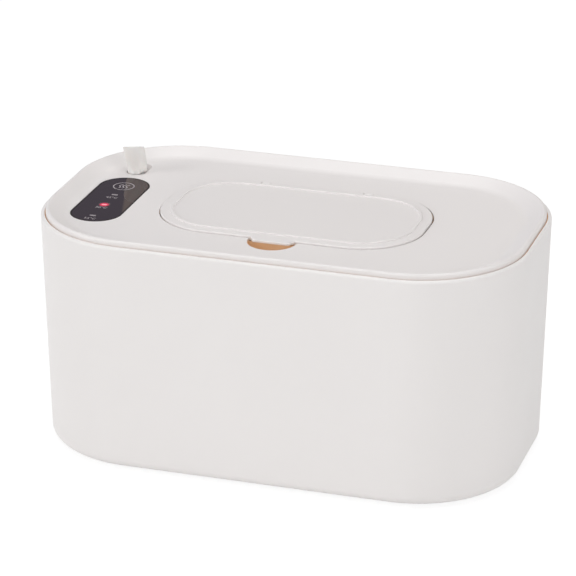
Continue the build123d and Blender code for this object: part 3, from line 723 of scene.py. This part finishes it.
def sweptTree():
    # a closed section swept along an open path, both given as wires
    tree, given = newTree("sweptStrip", {"path": "Object", "section": "Object", "lift": "Float",
                                         "finish": "Material"})
    wires = []
    for key in ("path", "section"):
        wire = addNode(tree, "GeometryNodeObjectInfo", {"Object": given[key]})
        wires.append(addNode(tree, "GeometryNodeMeshToCurve", {0: wire.outputs["Geometry"]}))
    upright = addNode(tree, "GeometryNodeSetCurveNormal", {0: wires[0].outputs[0]}, mode="Z_UP")
    strip = addNode(tree, "GeometryNodeCurveToMesh", {
        "Curve": upright.outputs[0], "Profile Curve": wires[1].outputs[0], "Fill Caps": True})
    closeTree(tree, raiseShape(tree, strip.outputs[0], given["lift"]).outputs[0], given["finish"])
    return tree


def wireObject(name, points, closed):
    mesh = bpy.data.meshes.new(name)
    edges = [(i, i + 1) for i in range(len(points) - 1)]
    if closed:
        edges.append((len(points) - 1, 0))
    mesh.from_pydata([tuple(point) + (0.0,) for point in points], edges, [])
    return addObject(name, mesh)


sealSection = [(out * mm, -up * mm) for out, up in reversed(seal["section"])]
sealWires = {"path": wireObject("sealPath", sealPath(seal), False),
             "section": wireObject("sealSection", sealSection, True)}
sealPiece = growPiece("lipSeal", sweptTree(), {**sealWires, "lift": seal["low"],
                                               "finish": finishes["sealSiliconeGapShade"]}, "lid")
for wire in sealWires.values():
    bpy.data.objects.remove(wire)
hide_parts("lid_seal")
print("lid seal made")


# the stopper of the filling slot: a leaning silicone grip, gathered into soft folds at its
# foot, on a ribbed stem that plugs the throat

stopper = {
    "place": (-85.75 * mm, 31.2 * mm), "lean": -1.95 * mm, "around": 96,
    "stemLow": 93.9 * mm, "stemTop": 99.9 * mm, "stemRadius": 3.0 * mm,
    "stemTip": ((-0.5, 0.0), (-0.15, 0.4)),              # out from the stem and up from its end, in mm
    "stemRibs": 3, "ribFirst": 1.2, "ribPitch": 1.7,     # mm
    "rib": ((-0.2, 0.0), (0.0, 0.3), (0.0, 0.5), (-0.2, 0.8)),
    "footRadius": 4.1 * mm,
    "foot": (      # out from its radius and up from the stem's top in mm; shares of folds and dent
        (-1.3, -0.05, 0.0, 0.0), (-0.5, 0.0, 0.0, 0.0), (-0.1, 0.25, 0.5, 0.0), (0.0, 1.6, 0.0, 0.8),
        (0.0, 4.6, 0.0, 1.0), (0.15, 5.0, 0.0, 1.0)),
    "skirt": 105.0 * mm, "skirtRadius": 4.6 * mm, "skirtShift": 0.45 * mm,    # it spreads on the panel
    "top": 118.5 * mm, "topRadius": 4.9 * mm, "round": 0.35 * mm,
    "slant": 20.0, "turn": 20.0,                         # degrees: the top's cut, and its high edge
    "dent": 1.45 * mm, "dentTurn": -24.0, "dentHeight": 4.2 * mm,    # a side drawn in, degrees from +X
    "folds": 11, "foldDrift": 1.3, "foldDepth": 0.32 * mm, "foldHeight": 6.5 * mm,
    "gripSteps": 30, "ripples": 11, "ripple": 0.05 * mm,
}


def stopperMesh(look):
    x, y = look["place"]
    slope, turn = tan(radians(look["slant"])), radians(look["turn"])
    grip = look["top"] - look["skirt"]
    angles = [2 * pi * i / look["around"] for i in range(look["around"])]

    def foldWave(angle):
        # folds that stand closer on one side than on the other
        return cos(look["folds"] * angle + look["foldDrift"] * sin(2 * angle))

    def dentWave(angle):
        return max(0.0, cos(angle - radians(look["dentTurn"]))) ** 4

    def levelRing(radius, z, fold=0.0, dent=0.0):
        # a ring of the stem or the foot
        ring = []
        for angle in angles:
            reach = radius + fold * foldWave(angle) - dent * dentWave(angle)
            ring.append((x + reach * cos(angle), y + reach * sin(angle), z))
        return ring

    def gripRing(share, radius, fold):
        # a ring of the grip, between the level skirt and the slanted top
        ring = []
        dent = look["dent"] * max(0.0, 1 - share * grip / look["dentHeight"]) ** 2
        for angle in angles:
            reach = radius + fold * (foldWave(angle) - 1) - dent * dentWave(angle)
            px, py = reach * cos(angle), reach * sin(angle)
            high = look["top"] - slope * (look["topRadius"] - px * sin(turn) + py * cos(turn))
            ring.append((x + look["skirtShift"] + share * look["lean"] + px, y + py,
                         look["skirt"] + share * (high - look["skirt"])))
        return ring

    stem = look["stemRadius"]
    rings = [levelRing(stem + out * mm, look["stemLow"] + up * mm) for out, up in look["stemTip"]]
    for number in range(look["stemRibs"]):
        z = look["stemLow"] + (look["ribFirst"] + look["ribPitch"] * number) * mm
        rings += [levelRing(stem + out * mm, z + up * mm) for out, up in look["rib"]]
    for out, up, fold, dent in look["foot"]:
        rings.append(levelRing(look["footRadius"] + out * mm, look["stemTop"] + up * mm,
                               fold * look["foldDepth"], dent * look["dent"]))
    for step in range(look["gripSteps"] + 1):
        share = step / look["gripSteps"] * (1 - look["round"] / grip)
        fold = look["foldDepth"] * max(0.0, 1 - share * grip / look["foldHeight"]) ** 1.5
        ripple = look["ripple"] * sin(pi * look["ripples"] * share) * (1 - share) ** 2
        radius = look["skirtRadius"] + share * (look["topRadius"] - look["skirtRadius"]) + ripple
        rings.append(gripRing(share, radius, fold))
    for angle in (pi / 6, pi / 3, pi / 2):
        share = 1 - look["round"] * (1 - sin(angle)) / grip
        rings.append(gripRing(share, look["topRadius"] - look["round"] * (1 - cos(angle)), 0.0))
    rings.append(gripRing(1.0, 0.5 * look["topRadius"], 0.0))
    return meshOf("siliconeStopper", lambda data: stackRings(data, rings))


stopperPiece = addPiece("siliconeStopper", stopperMesh(stopper), "stopper", finishes["stopperSilicone"])
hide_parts("inlet_stopper")
print("stopper made")


# the marks on the touch window: a ring with three heat strokes, three lamps and their
# temperatures. They are printed or lit just under its face, and drawn as films upon it.

marks = {
    "face": 104.9 * mm, "x": -84.6 * mm, "lineWidth": 0.45 * mm, "filmHeight": 0.05 * mm,
    "ringY": 10.7 * mm, "ringRadius": 4.65 * mm, "ringSteps": 72, "nibSteps": 10,
    "strokes": 3, "strokeHeight": 4.7 * mm, "strokeGap": 1.6 * mm, "strokeSway": 0.5 * mm,
    "strokeWaves": 1.3, "strokeSteps": 28,
    "lampYs": (-0.9 * mm, -14.2 * mm, -28.5 * mm), "litLamp": 1,
    "lampSize": (2.9 * mm, 1.35 * mm, 0.02 * mm), "haloSize": (5.3 * mm, 5.2 * mm, 0.012 * mm),
    "coreSize": (2.7 * mm, 1.3 * mm, 0.03 * mm), "pillSunk": 0.02 * mm,
    "pillEdge": ((0.0, 0.3), (0.06 * mm, 0.8), (0.2 * mm, 1.0)),     # inwards, and shares of its height
    "windowSize": (58.0 * mm, 23.3 * mm), "windowCentre": (-84.5 * mm, -6.8 * mm), "borderSteps": 32,
    "borderWidth": 0.65 * mm, "borderInset": 0.12 * mm, "borderSunk": 0.05 * mm, "borderRise": 0.01 * mm,
    "labels": ("45°C", "50°C", "55°C"), "labelDrop": 3.85 * mm, "labelSize": 2.6 * mm,
}


def heatMarkTree(look):
    # a ring round a row of wavy strokes, each a thin round line pressed flat
    sizes = ("ringRadius", "lineWidth", "filmHeight", "strokeHeight", "strokeGap", "strokeSway")
    tree, given = newTree("heatMark", {**{key: "Float" for key in sizes}, "place": "Vector",
                                       "finish": "Material"})
    nibRadius = addNode(tree, "ShaderNodeMath", {0: given["lineWidth"], 1: 0.5}, operation="MULTIPLY")
    nib = addNode(tree, "GeometryNodeCurvePrimitiveCircle", {"Resolution": look["nibSteps"],
                                                             "Radius": nibRadius.outputs[0]})
    ring = addNode(tree, "GeometryNodeCurvePrimitiveCircle", {"Resolution": look["ringSteps"],
                                                              "Radius": given["ringRadius"]})
    ends = []
    for share in (-0.5, 0.5):
        end = addNode(tree, "ShaderNodeMath", {0: given["strokeHeight"], 1: share}, operation="MULTIPLY")
        ends.append(addNode(tree, "ShaderNodeCombineXYZ", {1: end.outputs[0]}).outputs[0])
    stroke = addNode(tree, "GeometryNodeCurvePrimitiveLine", {"Start": ends[0], "End": ends[1]})
    stroke = addNode(tree, "GeometryNodeResampleCurve", {"Curve": stroke.outputs[0],
                                                         "Count": look["strokeSteps"]})
    along = addNode(tree, "GeometryNodeSplineParameter").outputs["Factor"]
    turn = addNode(tree, "ShaderNodeMath", {0: along, 1: 2 * pi * look["strokeWaves"]},
                   operation="MULTIPLY")
    sway = addNode(tree, "ShaderNodeMath", {0: turn.outputs[0]}, operation="SINE")
    sway = addNode(tree, "ShaderNodeMath", {0: sway.outputs[0], 1: given["strokeSway"]},
                   operation="MULTIPLY")
    aside = addNode(tree, "ShaderNodeCombineXYZ", {0: sway.outputs[0]})
    stroke = addNode(tree, "GeometryNodeSetPosition", {"Geometry": stroke.outputs[0],
                                                       "Offset": aside.outputs[0]})
    back = addNode(tree, "ShaderNodeMath", {0: given["strokeGap"], 1: (1 - look["strokes"]) / 2},
                   operation="MULTIPLY")
    first = addNode(tree, "ShaderNodeCombineXYZ", {0: back.outputs[0]})
    step = addNode(tree, "ShaderNodeCombineXYZ", {0: given["strokeGap"]})
    row = addNode(tree, "GeometryNodeMeshLine", {
        "Count": look["strokes"], "Start Location": first.outputs[0], "Offset": step.outputs[0]})
    strokes = addNode(tree, "GeometryNodeInstanceOnPoints", {"Points": row.outputs[0],
                                                             "Instance": stroke.outputs[0]})
    strokes = addNode(tree, "GeometryNodeRealizeInstances", {0: strokes.outputs[0]})
    lines = addNode(tree, "GeometryNodeJoinGeometry", {0: ring.outputs[0]})
    tree.links.new(strokes.outputs[0], lines.inputs[0])
    tubes = addNode(tree, "GeometryNodeCurveToMesh", {
        "Curve": lines.outputs[0], "Profile Curve": nib.outputs[0], "Fill Caps": True})
    flat = addNode(tree, "ShaderNodeMath", {0: given["filmHeight"], 1: given["lineWidth"]},
                   operation="DIVIDE")
    scale = addNode(tree, "ShaderNodeCombineXYZ", {0: 1.0, 1: 1.0, 2: flat.outputs[0]})
    film = addNode(tree, "GeometryNodeTransform", {
        "Geometry": tubes.outputs[0], "Scale": scale.outputs[0], "Translation": given["place"]})
    closeTree(tree, film.outputs[0], given["finish"])
    return tree, sizes


markTree, markSizes = heatMarkTree(marks)
heatMark = growPiece("heatMark", markTree, {
    **{key: marks[key] for key in markSizes}, "place": (marks["x"], marks["ringY"], marks["face"]),
    "finish": finishes["printInk"]}, "lid")


def pillMesh(name, size, spots):
    # flat pills with a soft edge, one over each spot
    length, width, height = size
    edge = [(0.0, -marks["pillSunk"])] + [(inset, up * height) for inset, up in marks["pillEdge"]]

    def fillPills(data):
        for x, y in spots:
            rings = []
            for inset, z in edge:
                ring = pillRing(length - 2 * inset, width - 2 * inset, marks["face"] + z)
                rings.append([(x + px, y + py, pz) for px, py, pz in ring])
            stackRings(data, rings)

    return meshOf(name, fillPills)


lampSpots = [(marks["x"], y) for y in marks["lampYs"]]
litSpots = [lampSpots.pop(marks["litLamp"])]
for name, size, spots, finish in (
        ("restingLamps", "lampSize", lampSpots, "lampUnlit"),
        ("litHalo", "haloSize", litSpots, "lampHalo"), ("litCore", "coreSize", litSpots, "lampCore")):
    piece = addPiece(name, pillMesh(name, marks[size], spots), "lid", finishes[finish])


def borderMesh(look):
    # a flat stadium ring on the window's edge, long side along Y
    def fillBorder(data):
        length, width = look["windowSize"]
        x, y = look["windowCentre"]
        outer, inner = look["borderInset"], look["borderWidth"]
        low, high = look["face"] - look["borderSunk"], look["face"] + look["borderRise"]
        loops = []
        for inset, z in ((outer, low), (outer, high), (inner, high), (inner, low)):
            ring = pillRing(length - 2 * inset, width - 2 * inset, z, look["borderSteps"])
            loops.append([data.verts.new((x - py, y + px, pz)) for px, py, pz in ring])
        joinLoops(data, zip(loops, loops[1:] + loops[:1]))

    return meshOf("windowBorder", fillBorder)


# the ring is painted shade: it stands in for the shadowed gap round the window
windowBorder = addPiece("windowBorder", borderMesh(marks), "lid", finishes["gapShadeMatt"], smooth=False)


def labelMesh(look):
    # the three temperatures, each below its lamp
    merged = bmesh.new()
    for text, y in zip(look["labels"], look["lampYs"]):
        curve = bpy.data.curves.new("label", "FONT")
        curve.body, curve.size, curve.extrude = text, look["labelSize"], look["filmHeight"] / 2
        curve.align_x = curve.align_y = "CENTER"
        holder = addObject("label", curve)
        mesh = finalMesh(holder)
        mesh.transform(Matrix.Translation((look["x"], y - look["labelDrop"], look["face"])))
        merged.from_mesh(mesh)
        bpy.data.objects.remove(holder)
    bmesh.ops.remove_doubles(merged, verts=merged.verts, dist=10 * weldDistance)
    bmesh.ops.recalc_face_normals(merged, faces=merged.faces)
    labels = bpy.data.meshes.new("temperatureLabels")
    merged.to_mesh(labels)
    merged.free()
    return labels


labels = addPiece("temperatureLabels", labelMesh(marks), "lid", finishes["printInk"], smooth=False)
print("window marks made")


# the power socket's contacts: a sprung sleeve inside the bore and a round-nosed pin

contacts = {
    "x": 0.0, "z": 97.0 * mm, "mouth": 62.1 * mm, "floor": 52.6 * mm,
    "sleeve": (2.78 * mm, 2.55 * mm), "sleeveBack": 1.0 * mm, "sleeveFoot": 0.3 * mm, "lip": 0.1 * mm,
    "sleeveAround": 40, "pin": 1.05 * mm, "pinBack": 1.6 * mm, "pinAround": 24,
    "nose": (0.0, 0.4, 0.8, 1.2, 1.45),                  # steps of the pin's round end, in radians
}


def contactMesh(look):
    def ringAlong(radius, y, count):
        return [(look["x"] + px, y, look["z"] + pz) for px, pz, _ in circleRing(radius, 0.0, count)]

    def fillContacts(data):
        outer, inner = look["sleeve"]
        front, back = look["mouth"] - look["sleeveBack"], look["floor"] + look["sleeveFoot"]
        loops = []
        for radius, y in ((outer, back), (outer, front), (inner, front + look["lip"]), (inner, back)):
            loops.append([data.verts.new(point) for point in ringAlong(radius, y, look["sleeveAround"])])
        joinLoops(data, zip(loops, loops[1:] + loops[:1]))
        pin, nose = look["pin"], look["mouth"] - look["pinBack"]
        profile = [(pin, look["floor"])]
        profile += [(pin * cos(a), nose - pin * (1 - sin(a))) for a in look["nose"]]
        stackRings(data, [ringAlong(radius, y, look["pinAround"]) for radius, y in profile])

    return meshOf("socketContacts", fillContacts)


contactPiece = addPiece("socketContacts", contactMesh(contacts), "lid", finishes["contactBrass"])
contactPiece.data.set_sharp_from_angle(angle=sharpAngle)
print("socket contacts made")
